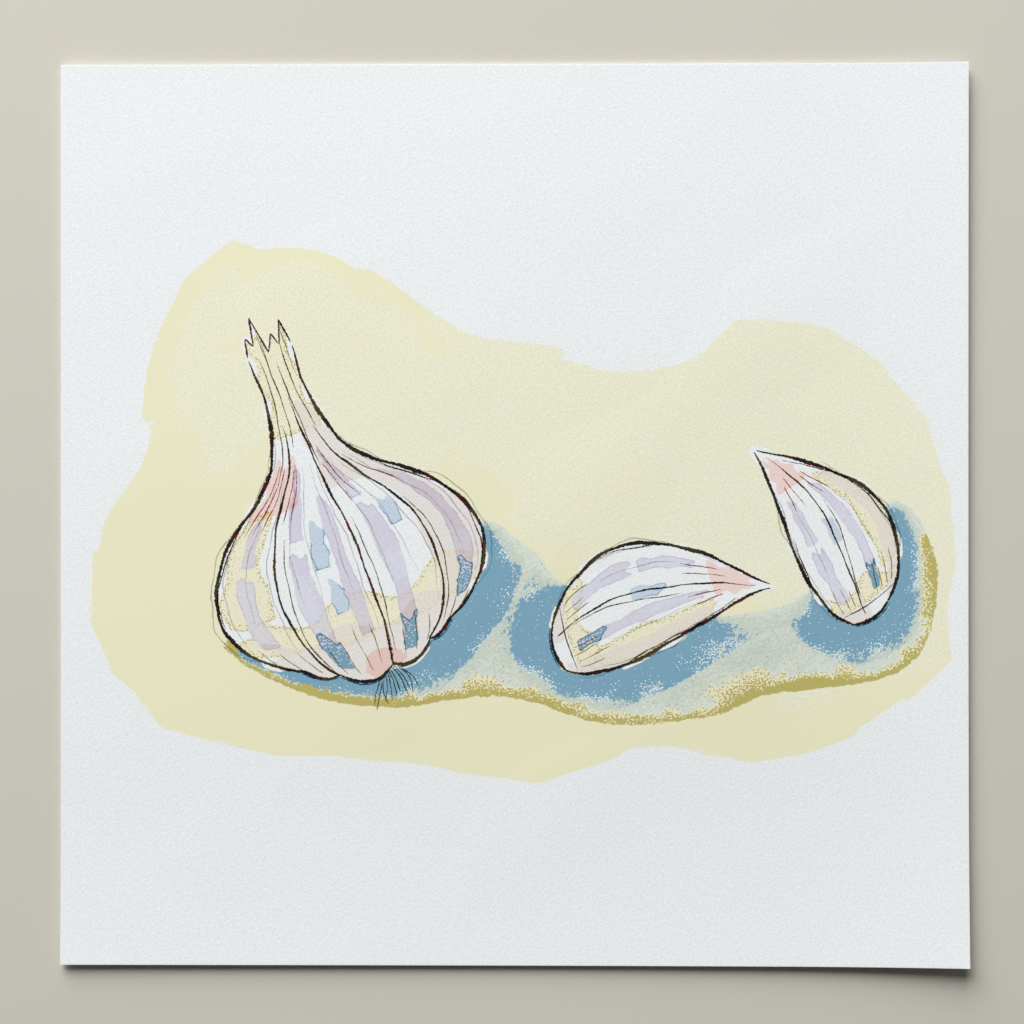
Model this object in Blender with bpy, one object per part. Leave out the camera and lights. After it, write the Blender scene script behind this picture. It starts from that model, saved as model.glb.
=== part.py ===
"""A sheet of heavy cold-pressed watercolour paper, trimmed almost square.

It lies flat across the middle. Its right side, its lower edge and its corners lift off the table
in gentle curls, each about one line, as a real sheet does once a painting on it has dried.
The origin is on the table under the middle of the sheet, +X to the right and +Y up the picture.
"""

import math

import bmesh
import bpy
from mathutils import Vector

# Driving dimensions, in metres.
SHEET_WIDTH = 0.2032
LEFT_EDGE = 0.2015  # the trim is a little out of square, so the left edge is the shorter one
RIGHT_EDGE = 0.2025
PAPER_THICKNESS = 0.0006
CURL_STEPS = 6  # flat strips that make up each curl
CURLS = (  # direction from the middle in degrees, where the paper leaves the table, rise at the end
    (0, 0.060, 0.0012),
    (-90, 0.060, 0.0008),
    (50, 0.070, 0.0003),
    (140, 0.070, 0.0005),
    (-130, 0.070, 0.0003),
    (-50, 0.070, 0.0009),
)

PAPER_COLOUR = (0.84, 0.86, 0.86, 1.0)
PAPER_ROUGHNESS = 0.92


def paper_material():
    material = bpy.data.materials.new("watercolour_paper")
    material.use_nodes = True
    shader = material.node_tree.nodes["Principled BSDF"]
    shader.inputs["Base Color"].default_value = PAPER_COLOUR
    shader.inputs["Roughness"].default_value = PAPER_ROUGHNESS
    shader.inputs["Metallic"].default_value = 0.0
    return material


def trimmed_corners():
    """The sheet's corners seen from above, against the clock from the lower left."""
    x = SHEET_WIDTH / 2
    left, right = LEFT_EDGE / 2, RIGHT_EDGE / 2
    return [Vector(point) for point in ((-x, -left, 0), (x, -right, 0), (x, right, 0), (-x, left, 0))]


def curl(mesh, angle, start, rise):
    """Cuts the paper past the start into strips across the curl and raises them along a parabola."""
    direction = Vector((math.cos(math.radians(angle)), math.sin(math.radians(angle)), 0.0))
    reach = max(corner.dot(direction) for corner in trimmed_corners()) - start
    for step in range(CURL_STEPS):
        distance = start + reach * step / CURL_STEPS
        bmesh.ops.bisect_plane(
            mesh,
            geom=mesh.verts[:] + mesh.edges[:] + mesh.faces[:],
            dist=1e-6,
            plane_co=direction * distance,
            plane_no=direction,
        )
    for vertex in mesh.verts:
        past = vertex.co.dot(direction) - start
        if past > 0:
            vertex.co.z += rise * (past / reach) ** 2


def thicken(mesh):
    """Gives the curled face the paper's thickness, upwards from its underside."""
    underside = mesh.faces[:]
    top = bmesh.ops.extrude_face_region(mesh, geom=underside)["geom"]
    raised = [item for item in top if isinstance(item, bmesh.types.BMVert)]
    bmesh.ops.translate(mesh, verts=raised, vec=(0.0, 0.0, PAPER_THICKNESS))
    bmesh.ops.recalc_face_normals(mesh, faces=mesh.faces[:])


def paper_sheet():
    mesh = bmesh.new()
    mesh.faces.new([mesh.verts.new(corner) for corner in trimmed_corners()])
    for angle, start, rise in CURLS:
        curl(mesh, angle, start, rise)
    thicken(mesh)
    data = bpy.data.meshes.new("paper_sheet")
    mesh.to_mesh(data)
    mesh.free()
    data.materials.append(paper_material())
    sheet = bpy.data.objects.new("paper_sheet", data)
    bpy.context.scene.collection.objects.link(sheet)
    return sheet


for old in list(bpy.data.objects):
    bpy.data.objects.remove(old, do_unlink=True)
paper_sheet()
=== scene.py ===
import math

import bpy
import numpy as np
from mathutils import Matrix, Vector, geometry


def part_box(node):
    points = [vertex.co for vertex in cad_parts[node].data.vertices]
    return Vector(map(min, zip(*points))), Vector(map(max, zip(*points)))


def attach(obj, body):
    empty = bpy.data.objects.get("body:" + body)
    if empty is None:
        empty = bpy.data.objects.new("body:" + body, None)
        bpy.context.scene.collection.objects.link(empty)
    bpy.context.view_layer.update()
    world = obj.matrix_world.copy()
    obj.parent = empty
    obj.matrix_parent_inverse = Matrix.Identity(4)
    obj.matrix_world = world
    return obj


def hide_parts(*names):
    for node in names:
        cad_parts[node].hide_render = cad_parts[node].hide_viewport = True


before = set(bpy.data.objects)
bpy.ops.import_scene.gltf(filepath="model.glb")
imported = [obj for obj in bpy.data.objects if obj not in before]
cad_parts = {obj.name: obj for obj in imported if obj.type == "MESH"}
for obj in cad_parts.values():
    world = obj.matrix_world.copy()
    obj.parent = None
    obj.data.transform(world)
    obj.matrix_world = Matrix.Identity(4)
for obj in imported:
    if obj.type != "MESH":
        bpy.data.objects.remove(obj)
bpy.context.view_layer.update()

# --- The sheet of paper -----------------------------------------------------------------
# One loose sheet of 300 g/m2 cold-pressed cotton paper, cut from a block with a knife and
# trimmed almost square. It lies flat across the middle, faintly cockled by the washes, and its
# right side, lower edge and corners curl off the table. Lengths on the sheet are in millimetres.
MM = 0.001
(west, south, floor_level), (east, north, _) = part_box("paper_sheet")
HALF_WIDTH = (east - west) / 2 / MM
RIGHT_HALF = (north - south) / 2 / MM
LEFT_HALF = RIGHT_HALF - 0.5  # the trim is 1 mm out of square
THICKNESS = 0.6
CURLS = (  # direction in degrees, where it leaves the table, and its rise at the edge
    (0, 60.0, 1.2), (-90, 60.0, 0.8), (50, 70.0, 0.3), (140, 70.0, 0.5), (-130, 70.0, 0.3),
    (-50, 70.0, 0.9))
COCKLE = 0.10  # height of the low waves that the washes left
CUT_EDGE = (0.0, 0.08, 0.2, 0.4)  # lines of the mesh beside the cut
CUT_ROLL, CUT_DROP = 0.2, 0.02  # how far in the knife has rolled the top edge over, and how deep


def half_height(x):
    """Half the sheet's height at x: the trim narrows a little towards the left."""
    return LEFT_HALF + (RIGHT_HALF - LEFT_HALF) * (x / HALF_WIDTH + 1) / 2


def lift(x, y):
    """How far the underside stands off the table."""
    height = np.zeros_like(x)
    for angle, start, rise in CURLS:
        right, up = math.cos(math.radians(angle)), math.sin(math.radians(angle))
        corner_y = RIGHT_HALF if right > 0 else LEFT_HALF
        reach = HALF_WIDTH * abs(right) + corner_y * abs(up) - start
        height += rise * (np.clip(x * right + y * up - start, 0, None) / reach) ** 2
    waves = np.sin(x / 15.3 + 0.7) * np.cos(y / 12.1 - 0.4) + 0.5 * np.sin((x - y) / 9.2)
    calm = np.clip(1 - np.maximum(abs(x) / HALF_WIDTH, abs(y) / RIGHT_HALF) ** 3, 0, 1)
    return height + COCKLE * calm * np.clip(waves, 0, None)


def grid_lines(limit, low, high):
    """Lines across the sheet: close together under the drawing, and at the rolled edges."""
    fine, coarse = 0.48, 2.1  # close enough for a pen line, and for the curls
    inner = limit - CUT_EDGE[-1]
    before = np.linspace(-inner, low, round((low + inner) / coarse) + 1)[:-1]
    drawn = np.linspace(low, high, round((high - low) / fine) + 1)
    after = np.linspace(high, inner, round((inner - high) / coarse) + 1)[1:]
    edge = np.array(CUT_EDGE[:-1])
    return np.concatenate([edge - limit, before, drawn, after, (limit - edge)[::-1]])


across = grid_lines(HALF_WIDTH, -68.0, 90.0)  # the drawing's left and right
upward = grid_lines(RIGHT_HALF, -44.0, 48.0)  # its foot and its top
grid_x, grid_y = np.meshgrid(across, upward)
grid_y = grid_y * half_height(grid_x) / RIGHT_HALF
ROWS, COLUMNS = grid_x.shape


def edge_drop(x, y):
    """How far the cut has pressed the surface down at its very edge."""
    inside = np.minimum(HALF_WIDTH - abs(x), half_height(x) - abs(y))
    return CUT_DROP * (1 - np.clip(inside / CUT_ROLL, 0, 1)) ** 2


def rim_order():
    """The grid's border points, once round against the clock."""
    number = np.arange(ROWS * COLUMNS).reshape(ROWS, COLUMNS)
    sides = number[0, :-1], number[:-1, -1], number[-1, :0:-1], number[:0:-1, 0]
    return np.concatenate(sides)


def paper_mesh():
    """The painted face as a grid, a cut edge round it, and a plain back."""
    x, y = grid_x.ravel(), grid_y.ravel()
    top = np.stack([x, y, lift(x, y) + THICKNESS - edge_drop(x, y)], 1)
    number = np.arange(ROWS * COLUMNS).reshape(ROWS, COLUMNS)
    quads = np.stack([number[:-1, :-1], number[:-1, 1:], number[1:, 1:], number[1:, :-1]], 2)
    faces = quads.reshape(-1, 4).tolist()
    rim = rim_order()
    fibres = np.random.default_rng(3)
    middle = top[rim]
    middle[:, 2] = lift(*middle[:, :2].T) + THICKNESS / 2
    middle[:, :2] *= 1 - fibres.uniform(0, 0.0003, (len(rim), 1))
    back_lines = np.arange(-96, 97, 4.0)
    back_x, back_y = np.meshgrid(back_lines, back_lines)
    back = np.concatenate([top[rim, :2], np.stack([back_x.ravel(), back_y.ravel()], 1)])
    ring = [(i, (i + 1) % len(rim)) for i in range(len(rim))]
    flat = geometry.delaunay_2d_cdt([Vector(p) for p in back.tolist()], ring, [], 1, 1e-5)
    back = np.array([p[:] for p in flat[0]])
    back = np.column_stack([back, lift(*back.T)])
    first_middle = len(top)
    first_back = first_middle + len(rim)
    for i, j in ring:
        faces.append((rim[j], rim[i], first_middle + i, first_middle + j))
        faces.append((first_middle + j, first_middle + i, first_back + i, first_back + j))
    for face in flat[2]:
        faces.append([first_back + i for i in reversed(face)])
    points = np.concatenate([top, middle, back]) * MM
    points[:, 2] += floor_level
    mesh = bpy.data.meshes.new("paper_sheet_painted")
    mesh.from_pydata(points.tolist(), [], faces)
    mesh.shade_smooth()
    mesh.set_sharp_from_angle(angle=math.radians(50))
    return mesh


paper = paper_mesh()
TOP_SHARE = 0.9  # of the colour map's width that the painted face takes
STRIP_START, STRIP_SHARE = 0.1, 0.85  # how the edge and the back lie in the strips that are left


def lay_out_map():
    """Gives the painted face most of the square map, and the edge and back the strips beside it."""
    place = np.empty(len(paper.vertices) * 3)
    paper.vertices.foreach_get("co", place)
    place = place.reshape(-1, 3) / MM
    corner = np.empty(len(paper.loops), int)
    paper.loops.foreach_get("vertex_index", corner)
    faces = len(paper.polygons)
    start, count = np.empty(faces, int), np.empty(faces, int)
    paper.polygons.foreach_get("loop_start", start)
    paper.polygons.foreach_get("loop_total", count)
    face = np.repeat(np.arange(faces), count)
    grid_faces = (ROWS - 1) * (COLUMNS - 1)
    edge_faces = grid_faces + 2 * len(rim_order())
    u = place[corner, 0] / HALF_WIDTH / 2 + 0.5
    v = place[corner, 1] / RIGHT_HALF / 2 + 0.5
    spare = 1 - TOP_SHARE
    on_back = face >= edge_faces
    on_edge = (face >= grid_faces) & ~on_back
    height = (place[corner, 2] - lift(*place[corner, :2].T)) / THICKNESS
    along_x = abs(abs(place[corner, 1]) - half_height(place[corner, 0])) < 0.1
    side = np.where(along_x, place[corner, 1] > 0, place[corner, 0] > 0)
    strip = (2 * along_x + side + 0.1 + 0.8 * height) / 4
    map_u = np.where(on_back, TOP_SHARE + spare * (STRIP_START + STRIP_SHARE * u), TOP_SHARE * u)
    map_v = TOP_SHARE * v
    run = np.where(along_x, u, v)
    map_u = np.where(on_edge, TOP_SHARE * run, map_u)
    map_v = np.where(on_edge, TOP_SHARE + spare * (STRIP_START + STRIP_SHARE * strip), map_v)
    layer = paper.uv_layers.new(name="OFBake")
    layer.data.foreach_set("uv", np.stack([map_u, map_v], 1).ravel())


lay_out_map()

# --- The drawing ------------------------------------------------------------------------
# A kitchen study in pen over pencil: a head of garlic leaning left and two loose cloves.
# Ink and pencil lie in the paper, so each line is only colour: every point of the painted
# face is told how far it is from the nearest line's middle and how broad the line is there.


def smooth(points, closed=False, step=0.5):
    """Points along a smooth curve through the given ones."""
    points = np.asarray(points, float)
    if closed:
        points = np.concatenate([points[-1:], points, points[:2]])
    else:
        before, after = 2 * points[0] - points[1], 2 * points[-1] - points[-2]
        points = np.concatenate([[before], points, [after]])
    curve = []
    for before, start, end, after in zip(points, points[1:], points[2:], points[3:]):
        count = max(2, round(np.linalg.norm(end - start) / step))
        t = np.arange(count)[:, None] / count
        curve.append(
            start
            + t * (end - before) / 2
            + t**2 * (before - 2.5 * start + 2 * end - after / 2)
            + t**3 * (1.5 * (start - end) + (after - before) / 2)
        )
    return np.concatenate(curve + [points[-2:-1]])


def window(path, margin):
    """The part of the grid within a margin of a path."""
    low, high = path.min(0) - margin, path.max(0) + margin
    columns = np.searchsorted(across, (low[0], high[0]))
    stretch = RIGHT_HALF / LEFT_HALF
    rows = np.searchsorted(upward, (low[1] - 0.5, high[1] * stretch + 0.5))
    return slice(*rows), slice(*columns)


def measure(path, x, y):
    """How far each point is from the path, on its left or its right, how far along the nearest
    place is, and whether the point is inside, if the path is closed."""
    nearest = np.full(x.shape, np.inf)
    offset, along = np.zeros(x.shape), np.zeros(x.shape)
    inside = np.zeros(x.shape, bool)
    steps = np.diff(path, axis=0)
    lengths = np.hypot(*steps.T)
    starts = np.concatenate([[0], np.cumsum(lengths)[:-1]])
    last = len(steps) - 1
    for i, ((ax, ay), (dx, dy), length, start) in enumerate(zip(path, steps, lengths, starts)):
        if length == 0:
            continue
        px, py = x - ax, y - ay
        run = (px * dx + py * dy) / length
        aside = (py * dx - px * dy) / length
        held = np.clip(run, 0, length)
        gap = np.hypot(run - held, aside)
        closer = gap < nearest
        nearest = np.where(closer, gap, nearest)
        open_run = np.clip(run, None if i == 0 else 0, None if i == last else length)
        hand_side = np.where(aside < 0, -1, 1)
        offset = np.where(closer, hand_side * np.hypot(run - open_run, aside), offset)
        along = np.where(closer, start + open_run, along)
        if dy:
            crossed = ((ay > y) != (ay + dy > y)) & (px < dx * py / dy)
            inside ^= crossed
    return nearest, offset, along, inside


class Form:
    """A rounded thing in the drawing. Its surface is read by how far up its axis a place is,
    from 0 at the root to 1 at the tip, and how far across, from -1 at its left to 1 at its right.
    Its root end hangs down in the middle, and is notched between its parts."""

    def __init__(self, root, turn, length, half_width, profile, bend=0.0, belly=0.0, notch=0.0,
                 parts=(-1, 1), crown=((1, 1), (-1, 1))):
        self.root, self.turn = np.array(root, float), math.radians(turn)
        self.length, self.half_width, self.bend = length, half_width, bend
        self.belly, self.notch, self.parts = belly, notch, np.array(parts, float)
        self.heights, self.widths = smooth(profile, step=0.01).T
        self.crown = crown  # the tip's edge, from its right to its left

    def at(self, side, up):
        """Places on the sheet."""
        side, up = np.broadcast_arrays(np.asarray(side, float), np.asarray(up, float))
        x = side * self.half_width * np.interp(up, self.heights, self.widths)
        x = x + self.bend * (1 - (2 * up - 1) ** 2)
        part = np.clip(np.searchsorted(self.parts, side), 1, len(self.parts) - 1)
        left, right = self.parts[part - 1], self.parts[part]
        lobe = 1 - ((2 * side - left - right) / (right - left)) ** 2
        round_off = np.clip(1 - side**2, 0, 1)
        hang = self.belly * round_off + self.notch * lobe * (right - left) * np.sqrt(round_off)
        y = self.length * up - hang * np.clip(1 - up, 0, 1) ** 5
        cos, sin = math.cos(self.turn), math.sin(self.turn)
        return np.stack([self.root[0] + x * cos - y * sin, self.root[1] + x * sin + y * cos], -1)

    def line(self, side_from, side_to, up_from, up_to, count=40):
        return self.at(np.linspace(side_from, side_to, count), np.linspace(up_from, up_to, count))

    def patch(self, left, right, low, high, wave=0.0, waves=2.0, phase=0.0, sweep=0.0):
        """The outline of a patch of surface. Its upper edge rolls, its sides are a little uneven,
        and it may lean as it rises."""
        sides, part = np.linspace(right, left, 40), np.linspace(0, 1, 40)
        rolled = high + wave * np.sin(waves * math.pi * (sides - left) + phase)
        uneven = np.sin(part * (5 + 9 * high) + 7 * left) * np.sin(part * math.pi)
        uneven = 0.1 * (right - left) * uneven
        return np.concatenate([
            self.line(left, right, low, low),
            self.at(right + sweep * part + uneven, low + (rolled[0] - low) * part),
            self.at(sides + sweep, rolled),
            self.at(left + sweep * part - uneven, low + (rolled[-1] - low) * part)[::-1],
        ])

    def outline(self):
        crown = np.array([self.at(side, up) for side, up in self.crown])
        return np.concatenate([
            self.line(-1, 1, 0, 0, 120), self.line(1, 1, 0, 1, 80),
            crown, self.line(-1, -1, 1, 0, 80),
        ])


torn_neck = ((1, 1.0), (0.85, 1.085), (0.5, 1.01), (0.3, 1.05), (-0.05, 0.995), (-0.35, 1.12),
             (-0.62, 1.03), (-0.85, 1.06), (-1, 1.0))
garlic = Form(
    root=(-31, -29), turn=20, length=70, half_width=31, belly=5.5, notch=3.4,
    profile=[(0, 0.58), (0.05, 0.77), (0.12, 0.92), (0.22, 1.0), (0.34, 0.95), (0.45, 0.77),
             (0.55, 0.48), (0.64, 0.28), (0.75, 0.19), (0.88, 0.155), (1, 0.165)],
    parts=(-1, -0.56, 0.12, 0.66, 1), crown=torn_neck,
)
clove_profile = [(0, 0.40), (0.04, 0.58), (0.12, 0.82), (0.30, 1.0), (0.52, 0.90), (0.72, 0.58),
                 (0.88, 0.24), (1, 0.02)]
front_clove = Form(root=(10, -30), turn=-74, length=50, half_width=12.5, bend=-6.0, belly=1.2,
                   profile=clove_profile)
far_clove = Form(root=(80, -22), turn=36, length=45, half_width=11.5, bend=5.0, belly=1.2,
                 profile=clove_profile)
cloves = front_clove, far_clove
forms = (garlic, *cloves)

NO_LINE = (0.0, -1.0, 0.0)  # how far aside the nearest line is, half its breadth, and its pen
PENS = {"black": 0.0, "brown": 0.2, "red": 0.4, "olive": 0.6, "blue": 0.8, "pencil": 1.0}
REACH = 1.7  # how far from a line the paper is told about it
ENTRY = 0.18  # share of a stroke in which the pen comes down on the paper, or lifts off it
BEAT = 13.0  # how far the pen goes between one swelling of a stroke and the next
pen_layers = []
hand = np.random.default_rng(11)


def normals(path):
    """The directions to the path's left."""
    steps = np.gradient(path, axis=0)
    return np.stack([-steps[:, 1], steps[:, 0]], 1) / np.maximum(np.hypot(*steps.T), 1e-9)[:, None]


def wander(path, amount):
    """A line as a hand draws it: it strays a little to either side, slowly and quickly."""
    length = np.cumsum(np.hypot(*np.gradient(path, axis=0).T))
    stray = np.zeros(len(path))
    for wavelength, share in ((21, 1.0), (8.5, 0.45), (3.4, 0.16)):
        stray += share * np.sin(length * 2 * math.pi / wavelength + hand.uniform(0, 2 * math.pi))
    return path + normals(path) * (amount * stray)[:, None]


def draw(path, width, pen="black", stray=0.16, ends=(0.25, 0.25), swell=0.35):
    """One stroke. Its ends are shares of the full width, and it swells and thins on the way."""
    path = wander(path, stray)
    rows, columns = window(path, REACH)
    gap, offset, along, _ = measure(path, grid_x[rows, columns], grid_y[rows, columns])
    total = np.hypot(*np.diff(path, axis=0).T).sum()
    part = np.clip(along / total, 0, 1)
    press = ends[0] + (1 - ends[0]) * np.clip(part / ENTRY, 0, 1) ** 0.7
    press = np.minimum(press, ends[1] + (1 - ends[1]) * np.clip((1 - part) / ENTRY, 0, 1) ** 0.7)
    beat = hand.uniform(0, 2 * math.pi)
    press = press * (1 - swell / 2 + swell / 2 * np.sin(along * 2 * math.pi / BEAT + beat))
    half = width / 2 * press - np.maximum(-along, along - total).clip(0)
    # The stroke goes into the first layer where no other lies right beside it.
    near = gap < REACH
    wide = near.copy()
    wide[1:] |= near[:-1]
    wide[:-1] |= near[1:]
    wide[:, 1:] |= near[:, :-1]
    wide[:, :-1] |= near[:, 1:]
    for layer in pen_layers:
        if not (layer["taken"][rows, columns] & wide).any():
            break
    else:
        layer = {
            "taken": np.zeros(grid_x.shape, bool),
            "told": np.tile(NO_LINE, grid_x.shape + (1,)),
        }
        pen_layers.append(layer)
    layer["taken"][rows, columns] |= near
    told = np.stack([offset, half, np.full_like(half, PENS[pen])], -1)
    layer["told"][rows, columns][near] = told[near]


def draw_sides(form, width):
    """Both edges of a form: the line itself, a second try beside it, and pencil outside."""
    for side in (-1, 1):
        edge = form.line(side, side, 0.0, 0.99)
        draw(edge, width, ends=(0.6, 0.25))
        first, last = sorted(hand.integers((2, 22), (16, 38)))
        draw(edge[first:last] - normals(edge)[first:last] * side * -0.55, width * 0.35, stray=0.3)
        draw(form.line(side * 1.05, side * 1.05, 0.05, 0.75), 0.34, "pencil", stray=0.45)
        draw(form.line(side * 0.93, side * 0.95, 0.12, 0.8), 0.3, "pencil", stray=0.3)


# The head of garlic: its outline, the folds between its cloves and their veins.
draw_sides(garlic, 1.0)
for left, right in zip(garlic.parts[:-1], garlic.parts[1:]):
    under = garlic.line(left, right, 0, 0)
    draw(under, 0.92, ends=(0.75, 0.55), stray=0.06)
    draw(under - normals(under) * 0.5, 0.34, "blue", stray=0.12)
for fold, top in ((-0.56, 0.76), (0.12, 0.84), (0.66, 0.73)):
    draw(garlic.line(fold, fold * 0.9, 0.0, top), 0.62, ends=(1, 0.2))
    draw(garlic.line(fold + 0.045, fold * 0.9 + 0.07, 0.03, 0.42), 0.3, "brown")
    draw(garlic.line(fold - 0.05, fold * 0.9 - 0.05, 0.1, 0.6), 0.3, "pencil", stray=0.3)
for side, low, high in (
    (-0.7, 0.62, 0.99), (-0.3, 0.68, 1.04), (0.2, 0.6, 0.96), (0.62, 0.72, 1.02),
):
    draw(garlic.line(side, side * 0.8, low, high), 0.32, "brown")
for side in (-0.78, -0.4, -0.25, -0.02, 0.28, 0.46, 0.84):
    draw(garlic.line(side, side * 0.92, 0.2, 0.62), 0.22, "pencil", stray=0.25)
for side in np.linspace(-0.92, 0.92, 15):
    vein = garlic.line(side, side * 0.97, 0.02, 0.08 + 0.06 * hand.random())
    draw(vein, 0.28, "olive", ends=(0.6, 0))
for side in (-0.86, -0.77, -0.68, -0.46, -0.38, 0.26, 0.36, 0.8):
    vein = garlic.line(side, side * 0.9, 0.46, 0.60 + 0.07 * hand.random())
    draw(vein, 0.27, "red", ends=(0.1, 0.5))
# The dry leaves at the end of the neck, torn off at different heights.
for start, end in zip(torn_neck[:-1], torn_neck[1:]):
    draw(np.linspace(garlic.at(*start), garlic.at(*end), 12), 0.5, ends=(0.5, 0.4), stray=0.08)
for side, low, high in ((0.8, 0.9, 1.06), (-0.32, 0.92, 1.09)):
    draw(garlic.line(side, side * 0.95, low, high), 0.28, "olive")
# Roots under the plate.
for fan in np.linspace(-1, 1, 11):
    start, middle = garlic.at(0.16 * fan + 0.04, -0.012), garlic.at(0.26 * fan + 0.04, -0.045)
    end = garlic.at(0.30 * fan + 0.02 * hand.normal(), -0.075 - 0.035 * hand.random())
    draw(smooth([start, middle, end]), 0.32, "brown", ends=(0.9, 0.1), stray=0.1)

# The loose cloves: two edges, the ridge between their flat sides, and the cut root end.
for clove in cloves:
    draw_sides(clove, 0.95)
    under = clove.line(-1, 1, 0, 0)
    draw(under, 0.85, ends=(0.7, 0.7), stray=0.05)
    draw(under - normals(under) * 0.5, 0.3, "blue", stray=0.1)
    draw(clove.line(-0.28, 0.1, 0.03, 0.93), 0.45, ends=(0.8, 0.1))
    draw(clove.line(-0.2, 0.16, 0.1, 0.6), 0.28, "brown")
    draw(clove.line(-0.92, 0.92, 0.06, 0.06), 0.34, "brown", stray=0.1)
    for side in (-0.75, -0.58, -0.4, 0.3, 0.46, 0.62, 0.78):
        vein = clove.line(side, side * 0.95, 0.08, 0.16 + 0.08 * hand.random())
        draw(vein, 0.27, "olive", ends=(0.6, 0))
    for side in (-0.55, -0.3, 0.3, 0.5):
        vein = clove.line(side, side * 0.9, 0.62, 0.76 + 0.05 * hand.random())
        draw(vein, 0.26, "red", ends=(0.1, 0.5))
    for side in (-0.6, 0.5):
        draw(clove.line(side, side * 0.95, 0.25, 0.62), 0.22, "pencil", stray=0.2)

# --- The washes -------------------------------------------------------------------------
# Transparent watercolour laid flat with a soft round brush, one glaze over another: a straw
# ground round the group, cream and grey on the turned-away sides, lilac stripes that follow
# the skins, a little rose, and a blue cast shadow that granulates and dries to an ochre rim.
FAR_OUT = -9.0  # what a place beyond the edge of every wash is told
SOFT_EDGE = 24  # how far round the forms the shadow's fading is measured
RIM_REACH = 12  # how far from the shadow's near edge the ochre rim is measured
washes = {}


def wash(name, outline, margin=6.0):
    """Adds a shape to a wash: each point is told how far inside (+) or outside (-) it is."""
    field = washes.setdefault(name, np.full(grid_x.shape, FAR_OUT))
    outline = np.concatenate([outline, outline[:1]])
    rows, columns = window(outline, margin)
    gap, _, _, inside = measure(outline, grid_x[rows, columns], grid_y[rows, columns])
    field[rows, columns] = np.maximum(field[rows, columns], np.where(inside, gap, -gap))


for form in forms:
    wash("form", form.outline(), margin=SOFT_EDGE)
washes["form"][washes["form"] <= FAR_OUT] = -SOFT_EDGE

wash("ground", smooth([
    (-80, -44), (-93, -27), (-92, -4), (-83, 14), (-80, 36), (-69, 52), (-50, 59), (-32, 53),
    (-16, 43), (0, 37), (20, 32), (40, 35), (56, 42), (74, 38), (88, 26), (96, 8), (97, -14),
    (93, -34), (78, -48), (52, -55), (26, -53), (0, -57), (-28, -54), (-56, -53),
], closed=True, step=1.0))
for stroke in (  # where a stroke of the brush began or ended, it left a corner
    [(-85.5, 18), (-84.5, 33), (-74, 52), (-63, 60.5), (-55, 57), (-70, 26)],
    [(-34, 56), (-24, 50.5), (-9, 42), (10, 36.5), (8, 32), (-34, 40)],
    [(42, 36), (50, 44), (71, 43), (79, 37), (84, 32), (70, 24), (44, 26)],
    [(97, 8), (98.5, -11), (97, -32), (88, -42), (80, -36), (86, -8)],
    [(77, -49.5), (54, -56), (38, -53.5), (42, -46), (78, -42)],
    [(25, -54.5), (5, -59.5), (-22, -57), (-40, -54), (-36, -46), (22, -46)],
    [(-67, -51), (-79, -48), (-90, -36), (-96, -24), (-95, -8), (-84, -8), (-72, -40)],
):
    wash("ground", np.array(stroke, float))
shadow_edge = [
    (-64, -27), (-61, -34), (-46, -40), (-26, -43), (-8, -41), (6, -43), (22, -47), (42, -46),
    (56, -40), (68, -38), (82, -37), (91, -31), (95, -19), (93, -6),
]
wash("cast", smooth(shadow_edge + [
    (85, 3), (76, -8), (60, -20), (34, -22), (12, -16), (4, -8), (-8, -2), (-30, -14),
], closed=True, step=1.0))
near_edge = measure(smooth(shadow_edge), grid_x, grid_y)[0]
washes["rim"] = RIM_REACH - np.clip(near_edge, 0, RIM_REACH)

for left, right, low, high in (
    (-0.84, -0.71, 0.12, 0.34), (-0.81, -0.69, 0.37, 0.49), (-0.42, -0.27, 0.05, 0.36),
    (-0.40, -0.27, 0.40, 0.62), (-0.08, 0.03, 0.10, 0.50), (0.26, 0.40, 0.04, 0.44),
    (0.27, 0.39, 0.47, 0.64), (0.78, 0.90, 0.10, 0.52),
):
    wash("lilac", garlic.patch(left, right, low, high, wave=0.012, waves=14))
for left, right, low, high, phase in (
    (-0.42, -0.27, 0.035, 0.12, 0.4), (0.26, 0.40, 0.03, 0.11, 2.4), (0.78, 0.9, 0.08, 0.17, 1.2),
):
    wash("blue", garlic.patch(left, right, low, high, wave=0.018, waves=10, phase=phase))
for left, right, low, high, phase in (
    (-0.24, -0.12, 0.30, 0.43, 0.6), (0.42, 0.53, 0.35, 0.45, 2.6), (-0.2, -0.1, 0.17, 0.25, 1.4),
):
    wash("sky", garlic.patch(left, right, low, high, wave=0.02, waves=11, phase=phase, sweep=0.03))
wash("cream", garlic.patch(-0.96, -0.62, 0.20, 0.50, wave=0.02))
wash("cream", garlic.patch(-0.97, 0.97, 0.09, 0.19, wave=0.03, waves=2.6, phase=0.7))
wash("cream", garlic.patch(-0.9, 0.9, 0.72, 1.05, wave=0.02, waves=1.6))
wash("grey", garlic.patch(0.62, 0.99, 0.10, 0.60, wave=0.03))
wash("grey", garlic.patch(-0.9, 0.99, 0.0, 0.12, wave=0.025, waves=3.1, phase=1))
wash("grey", garlic.patch(0.1, 0.9, 0.52, 0.80, wave=0.02))
wash("rose", garlic.patch(-0.92, -0.34, 0.50, 0.64, wave=0.02, waves=5))
wash("rose", garlic.patch(-0.16, 0.24, 0.0, 0.045, wave=0.012, waves=4))
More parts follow.
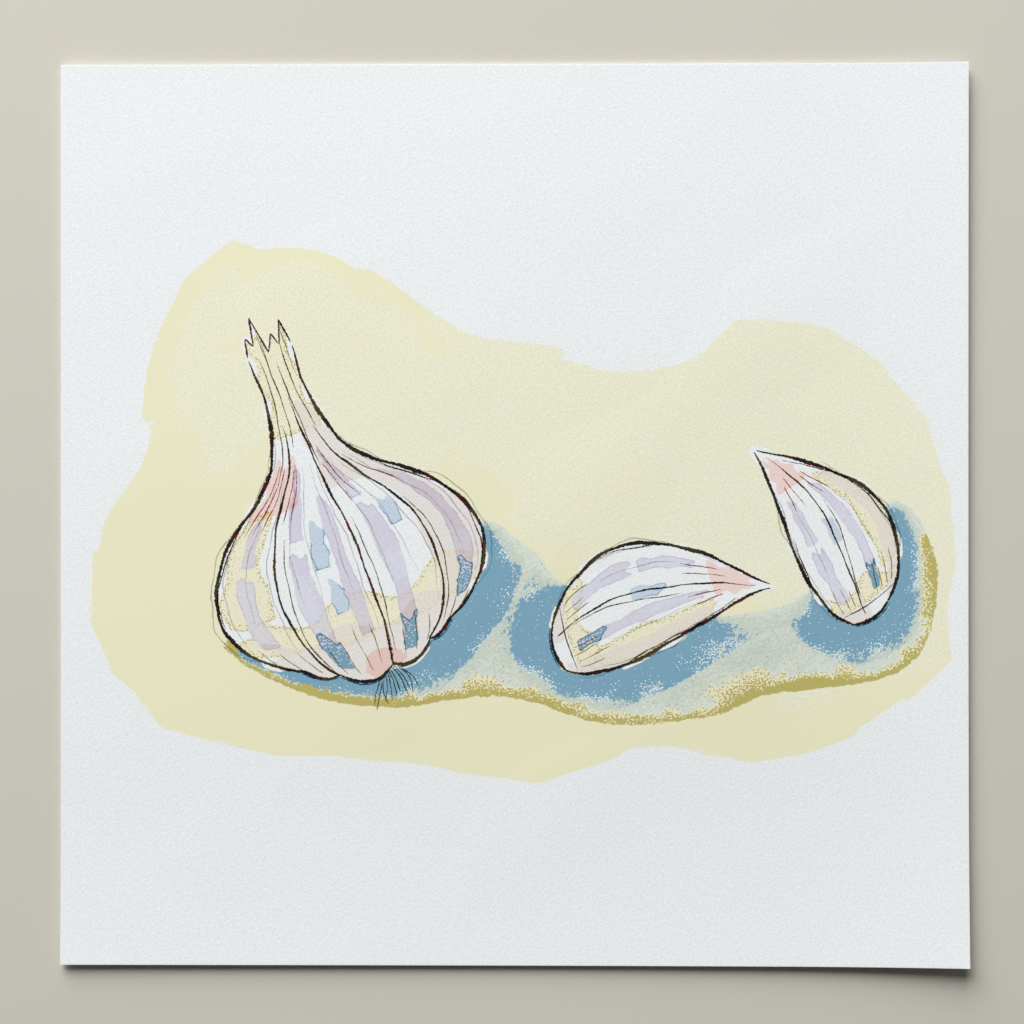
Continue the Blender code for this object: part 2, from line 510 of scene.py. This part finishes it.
for clove, phase in zip(cloves, (0.5, 2.2)):
    wash("lilac", clove.patch(-0.72, -0.45, 0.12, 0.40, wave=0.015, waves=9))
    wash("lilac", clove.patch(-0.70, -0.46, 0.44, 0.68, wave=0.015, waves=9))
    wash("lilac", clove.patch(0.18, 0.40, 0.12, 0.70, wave=0.015, waves=9))
    wash("blue", clove.patch(0.18, 0.40, 0.10, 0.22, wave=0.02, waves=7, phase=phase))
    wash("sky", clove.patch(-0.22, 0.0, 0.38, 0.52, wave=0.02, waves=6, phase=phase, sweep=0.06))
    wash("cream", clove.patch(-0.97, 0.97, 0.07, 0.16, wave=0.03, waves=1.7, phase=phase))
    wash("cream", clove.patch(0.48, 0.97, 0.16, 0.72, wave=0.02, waves=3))
    wash("grey", clove.patch(0.66, 0.98, 0.02, 0.70, wave=0.02, waves=3))
    wash("grey", clove.patch(-0.98, -0.1, 0.0, 0.08, wave=0.02, waves=3))
    wash("rose", clove.patch(-0.8, 0.46, 0.74, 0.92, wave=0.02, waves=3))


def store(name, values, kind):
    """Gives every point of the sheet a value: the painted face its own, the rest no paint."""
    blank = NO_LINE if kind == "FLOAT_VECTOR" else (FAR_OUT,)
    told = np.tile(np.array(blank), (len(paper.vertices), 1))
    told[: ROWS * COLUMNS] = values.reshape(ROWS * COLUMNS, -1)
    field = "vector" if kind == "FLOAT_VECTOR" else "value"
    paper.attributes.new(name, kind, "POINT").data.foreach_set(field, told.ravel())


for name, values in washes.items():
    store(name, values, "FLOAT")
for number, layer in enumerate(pen_layers):
    store(f"line_{number}", layer["told"], "FLOAT_VECTOR")

# --- Paper, paint and ink ---------------------------------------------------------------
# Cotton paper is a soft, slightly cool white with a felt-marked tooth, whose light and shade is
# partly painted into the paper's colour as a mottle. The washes are multiplied over it one by one
# as glazes are; pigment gathers at the rim of a wash and in the hollows of the tooth. The ink is
# waterproof, nearly black and a little less matt.


class Field:
    """A value on its way through a material. Arithmetic on it adds Math nodes."""

    def __init__(self, tree, socket=None):
        self.tree, self.socket = tree, socket

    def node(self, kind, settings=None, sockets=None, output=0):
        """Adds a node: its settings first, then the values or links of its sockets."""
        node = self.tree.nodes.new(kind)
        for name, value in (settings or {}).items():
            if name == "stops":
                while len(node.color_ramp.elements) < len(value):
                    node.color_ramp.elements.new(1.0)
                for element, (position, colour) in zip(node.color_ramp.elements, value):
                    element.position, element.color = position, colour
            elif name == "ramp":
                node.color_ramp.interpolation = value
            else:
                setattr(node, name, value)
        for name, value in (sockets or {}).items():
            if isinstance(value, Field):
                self.tree.links.new(value.socket, node.inputs[name])
            else:
                node.inputs[name].default_value = value
        return Field(self.tree, node.outputs[output] if node.outputs else None)

    def other(self, output):
        """Another output of the node that this value comes from."""
        return Field(self.tree, self.socket.node.outputs[output])

    def maths(self, operation, *values):
        return self.node("ShaderNodeMath", {"operation": operation}, dict(enumerate(values)))

    def __add__(self, other):
        return self.maths("ADD", self, other)

    def __sub__(self, other):
        return self.maths("SUBTRACT", self, other)

    def __mul__(self, other):
        return self.maths("MULTIPLY", self, other)

    def __rsub__(self, other):
        return self.maths("SUBTRACT", other, self)

    def __truediv__(self, other):
        return self.maths("DIVIDE", self, other)

    def __abs__(self):
        return self.maths("ABSOLUTE", self)

    __radd__, __rmul__ = __add__, __mul__


def linear(red, green, blue):
    """A colour as it is seen, from 0 to 255, in the light values that a shader uses."""
    seen = np.array([red, green, blue]) / 255
    return np.where(seen > 0.04045, ((seen + 0.055) / 1.055) ** 2.4, seen / 12.92)


def opaque(*seen):
    """The same, as a colour for a socket."""
    return (*linear(*seen), 1.0)


PAPER_WHITE = linear(232, 237, 238)


def pigment(red, green, blue):
    """What a glaze lets through, if on this paper it is seen as the given colour."""
    return (*np.clip(linear(red, green, blue) / PAPER_WHITE, 0, 1), 1.0)


material = bpy.data.materials.new("painted_paper")
material.use_nodes = True
tree = material.node_tree
tree.nodes.clear()
start = Field(tree)
place = start.node("ShaderNodeTexCoord", output="Object")
felt_way = start.node("ShaderNodeMapping", {"vector_type": "TEXTURE"}, {
    "Vector": place, "Rotation": (0, 0, math.radians(35)), "Scale": (1.15, 0.9, 1)})


def grain(size, detail=2.0, roughness=0.5, output=0):
    """Cloudy noise from 0 to 1 whose lumps are about this many millimetres across."""
    return start.node(
        "ShaderNodeTexNoise", {"noise_dimensions": "2D"}, {
            "Vector": felt_way, "Scale": 1 / (size * MM), "Detail": detail, "Roughness": roughness},
        output)


def ramp(value, low, high):
    """0 below low, 1 above high, and a soft step between."""
    return start.node(
        "ShaderNodeMapRange", {"interpolation_type": "SMOOTHSTEP"},
        {"Value": value, "From Min": low, "From Max": high})


def glaze(below, paint, amount):
    """A transparent wash over what lies below."""
    return start.node(
        "ShaderNodeMix", {"data_type": "RGBA", "blend_type": "MULTIPLY"},
        {"Factor": amount, 6: below, 7: paint}, 2)


def told(name, output="Fac"):
    """What the paper's points have been told about a wash or a layer of lines."""
    return start.node("ShaderNodeAttribute", {"attribute_name": name}, {}, output)


# The felt's mark in the paper, from its coarse tooth down to single fibres, and the pigment's grit.
tooth, fine_tooth, specks, grit = (grain(size, 0.0) for size in (1.0, 0.46, 0.33, 0.42))
hollow = (tooth - 0.5) * 0.7 + (fine_tooth - 0.5) * 0.6 + (specks - 0.5) * 0.2
# How the water in a wash drifted, and how unsteadily the brush went.
drift = grain(9.0, 1.0)
blotch = grain(22.0, 2.0)
bend = grain(30.0, 1.5, 0.4)
ragged = start.node("ShaderNodeSeparateColor", {}, {"Color": grain(3.2, 3.0, 0.6, output=1)})
ragged_a, ragged_b = ragged - 0.5, ragged.other(1) - 0.5
WASH_EDGE = 0.12  # a wash ends within this distance on either side of its outline
GRIT_SPAN = 0.62  # between the grit's deepest and highest places
GRIT_STEP = (-0.205, -0.175)  # a speck of pigment has a hard edge


def either(first, second):
    """The greater of two values."""
    return first.maths("MAXIMUM", first, second)


def blend(first, second, amount):
    """The first colour, giving way to the second by the amount."""
    return start.node(
        "ShaderNodeMix", {"data_type": "RGBA"}, {"Factor": amount, 6: first, 7: second}, 2)


def spread(name, stray=0.9, sway=0.0, broken=0.3):
    """Where a wash lies, and how far inside its edge a place is. Its edge strays a little, sways
    widely, and is broken by the tooth."""
    inside = told(name) + ragged_a * stray + (bend - 0.5) * sway + hollow * broken
    return ramp(inside, -WASH_EDGE, WASH_EDGE), inside


def strewn(share):
    """Specks of pigment in the hollows that cover this share of the paper."""
    return ramp(share * GRIT_SPAN - grit - (fine_tooth - 0.5) * 0.5, *GRIT_STEP)


# The forms keep their own paper: the ground and the shadow stop at them, or a little before.
form_inside = told("form")
on_form = ramp(form_inside + ramp(drift, 0.55, 0.63) * 0.8 + ragged_b * 0.4, -0.25, 0.0)

cast, cast_inside = spread("cast", stray=1.3, sway=5.0, broken=0.5)
cast = cast * (1 - on_form)
# The ground is thin and grainy, and flat where it pooled: low down, and along its left edge.
dry_brushed = 0.3 + ramp(drift, 0.62, 0.68) * 3
ground, ground_inside = spread("ground", stray=0.7, sway=7.0, broken=dry_brushed)
ground = ground * (1 - on_form) * (1 - cast)
low_down = start.node("ShaderNodeVectorMath", {"operation": "DOT_PRODUCT"}, {
    0: place, 1: (-0.35, -0.94, 0)}, "Value")
leftward = start.node("ShaderNodeVectorMath", {"operation": "DOT_PRODUCT"}, {
    0: place, 1: (-0.98, -0.20, 0)}, "Value")
full = ramp(low_down + (blotch - 0.5) * (90 * MM), -20 * MM, 25 * MM)
pooled = 1 - ramp(ground_inside + (drift - 0.5) * 6, 2.0, 7.5)
pooled = pooled * ramp(leftward + (blotch - 0.5) * (60 * MM), -15 * MM, 10 * MM)
full = strewn(either(full, pooled) * 1.25 - 0.12)
thin_straw = blend(pigment(234, 232, 202), pigment(230, 231, 213), specks * 0.7 + fine_tooth * 0.3)
ground_paint = blend(thin_straw, pigment(233, 230, 197), full)

# The shadow is blue under the forms, turns green on its way out, and dries to an ochre rim.
gap = 0.01 - form_inside
away = gap / (gap + abs(cast_inside)) + ragged_b * 0.16 + (drift - 0.5) * 0.3
from_rim = RIM_REACH - told("rim") + (blotch - 0.5) * 5 + ragged_a * 1.3 + hollow * 0.5
BLUE, PALE_BLUE = pigment(123, 165, 187), pigment(216, 232, 242)
GREEN, PALE_GREEN = pigment(196, 208, 197), pigment(214, 222, 211)
DRY_STRAW, OCHRE = pigment(232, 228, 195), pigment(185, 176, 104)
thin = ramp(drift + ragged_b * 0.3, 0.42, 0.6)
shade = blend(BLUE, PALE_BLUE, strewn(ramp(away, 0.2, 0.6) * (0.15 + thin * 0.45) - 0.16))
greened = ramp(away + hollow * 0.35 + (grit - 0.5) * 0.15, 0.565, 0.585)
shade = blend(shade, blend(GREEN, PALE_GREEN, ramp(away + hollow * 0.25, 0.6, 0.95)), greened)
broad = 0.45 + ramp(blotch + ragged_b * 0.3, 0.40, 0.60) * 1.3
thinned = ramp(away, 0.6, 0.75)
strawed = (1 - ramp(from_rim / broad + hollow * 2.5, 3.4, 4.0)) * thinned
shade = blend(shade, DRY_STRAW, strawed)
ochre_specks = strewn((1 - ramp(from_rim / broad, 0.4, 5.5)) * 0.85 - 0.12)
shade = blend(shade, OCHRE, ochre_specks * thinned)
shade = blend(shade, OCHRE, 1 - ramp(from_rim / broad + hollow * 1.5, 1.1, 1.25))
# Full washes fill the hollows, so that less of the felt's mark shows there.
calm = ground * full + cast * (1 - greened * (1 - strawed))
felt = 1 - calm * 0.85
# The paper's colour is mottled lighter and darker with the tooth and its specks. This is partly the
# paper's own uneven tone and partly painted shade that stands in for the tooth's relief under
# light.
tooth_tone_and_shade = (tooth - 0.5) * 0.25 + (fine_tooth - 0.5) * 0.5 + (specks - 0.5)
colour = blend(opaque(228, 232, 233), opaque(247.5, 251, 251), tooth_tone_and_shade * felt + 0.5)
colour = glaze(colour, ground_paint, ground)
colour = glaze(colour, shade, cast)

# Glazes on the forms, each over the last, and then the more opaque touches of blue.
painted_over = None
for name, paint in (
    ("grey", (224, 221, 217)), ("lilac", (213, 215, 228)), ("cream", (233, 229, 202)),
    ("rose", (236, 208, 202)),
):
    here, inside = spread(name)
    here = here * ramp(form_inside, -0.1, 0.15)
    paint = pigment(*paint)
    if name == "lilac":
        paint = blend(paint, pigment(208, 206, 221), ramp(blotch + hollow * 0.3, 0.42, 0.56))
        dark_rim = (1 - ramp(inside, 0.16, 0.32)) * ramp(drift, 0.4, 0.5)
        paint = blend(paint, pigment(192, 190, 210), dark_rim)
    if name == "cream":
        paint = blend(paint, OCHRE, strewn((1 - ramp(inside, 0.2, 1.6)) * 0.46 - 0.1))
        here = here * (1 - painted_over * 0.65)
    painted_over = here if painted_over is None else either(painted_over, here)
    colour = glaze(colour, paint, here * (0.95 + hollow * 0.3))
for name, paint, specked, share, lined in (
    ("blue", (121, 162, 183), (226, 212, 224), 0.40, (66, 110, 133)),
    ("sky", (202, 215, 230), (178, 202, 220), 0.16, (112, 160, 184)),
):
    here, inside = spread(name)
    here = here * ramp(form_inside, -0.1, 0.15)
    paint = blend(opaque(*paint), opaque(*specked), strewn(ramp(drift, 0.35, 0.6) * share))
    dark_rim = (1 - ramp(inside, 0.14, 0.30)) * ramp(drift, 0.42, 0.5)
    colour = blend(colour, blend(paint, opaque(*lined), dark_rim), here)

# The pens: each colour's stop lies below its place in PENS. The black one's ink is tinted here
# and there by what ran into it.
PEN_COLOURS = [
    (0.0, pigment(84, 68, 26)), (0.3, pigment(134, 34, 38)), (0.5, pigment(140, 130, 42)),
    (0.7, pigment(60, 104, 128)), (0.9, pigment(176, 178, 180)),
]
ink = blend(pigment(24, 16, 9), pigment(64, 58, 12), ramp(drift + ragged_b * 0.4, 0.50, 0.60))
ink = blend(ink, pigment(88, 14, 12), ramp(ragged_a + (blotch - 0.5) * 0.6, 0.09, 0.16) * 0.9)
ink = blend(ink, pigment(8, 34, 48), cast * (1 - greened))
INK_COVER = 0.995  # a trace of the paper shows through even the blackest line
inked = None
for number in range(len(pen_layers)):
    aside = start.node("ShaderNodeSeparateXYZ", {}, {"Vector": told(f"line_{number}", "Vector")})
    half, pen = aside.other(1), aside.other(2)
    rough = (hollow * 0.3 + (specks - 0.5) * 0.22) * (half * 1.8 + 0.2)
    mark = ramp(half - abs(aside) + rough, -0.05, 0.07)
    paint = start.node(
        "ShaderNodeValToRGB", {"ramp": "CONSTANT", "stops": PEN_COLOURS}, {"Fac": pen})
    paint = blend(ink, paint, ramp(pen, 0.05, 0.1))
    colour = glaze(colour, paint, mark * INK_COVER)
    inked = mark if inked is None else either(inked, mark)

TOOTH_DEPTH = 0.01
bump = start.node("ShaderNodeBump", {"invert": True}, {
    "Strength": felt,
    "Distance": TOOTH_DEPTH * MM,
    "Height": (tooth - 0.5) * 0.9 + (fine_tooth - 0.5),
})
shader = start.node("ShaderNodeBsdfPrincipled", {}, {
    "Base Color": colour,
    "Roughness": 0.93 - inked * 0.2,
    "Specular IOR Level": 0.15,
    "Normal": bump,
})
start.node("ShaderNodeOutputMaterial", {}, {"Surface": shader})
paper.materials.append(material)



def placed(name, data):
    """A new object in the scene."""
    thing = bpy.data.objects.new(name, data)
    bpy.context.scene.collection.objects.link(thing)
    return thing


sheet = placed("watercolour_sheet", paper)
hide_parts("paper_sheet")
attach(sheet, "root")

# --- Table, light and camera ------------------------------------------------------------
# A plain pale table top, a broad soft light from the upper left like a window's, and a camera
# that looks straight down on the sheet.
TABLE = 6  # from its middle to its sides
TABLE_GAP = 0.0001  # keeps its top clear of the sheet's underside
table_mesh = bpy.data.meshes.new("table_top")
table_mesh.from_pydata(
    [(x, y, floor_level - TABLE_GAP) for x, y in (
        (-TABLE, -TABLE), (TABLE, -TABLE), (TABLE, TABLE), (-TABLE, TABLE))],
    [], [(0, 1, 2, 3)])
placed("table_top", table_mesh)
table_finish = bpy.data.materials.new("table_finish")
table_finish.use_nodes = True
table_shader = table_finish.node_tree.nodes["Principled BSDF"]
table_shader.inputs["Base Color"].default_value = opaque(206, 202, 190)
table_shader.inputs["Roughness"].default_value = 0.8
table_mesh.materials.append(table_finish)

WINDOW = Vector((-0.70, 1.92, 1.2))
lamp = bpy.data.lights.new("window_light", "AREA")
lamp.shape, lamp.size, lamp.energy = "DISK", 2.2, 111
light = placed("window_light", lamp)
light.location = WINDOW
light.rotation_euler = (-WINDOW).to_track_quat("-Z", "Y").to_euler()
world = bpy.data.worlds.new("room")
world.use_nodes = True
room_light = world.node_tree.nodes["Background"]
room_light.inputs["Color"].default_value = (1, 1, 1, 1)
room_light.inputs["Strength"].default_value = 0.08
bpy.context.scene.world = world
bpy.context.scene.view_settings.view_transform = "Standard"

VIEW_WIDTH = 0.23  # of the table that is in view
CAMERA_HEIGHT = 0.42
AIM = (-0.0005, 0.00055)  # the sheet lies a little right of the view's middle, and below it
camera_data = bpy.data.cameras.new("camera")
camera_data.lens = camera_data.sensor_width * CAMERA_HEIGHT / VIEW_WIDTH
camera_data.clip_start = 0.01
camera = placed("camera", camera_data)
camera.location = (*AIM, CAMERA_HEIGHT)
bpy.context.scene.camera = camera
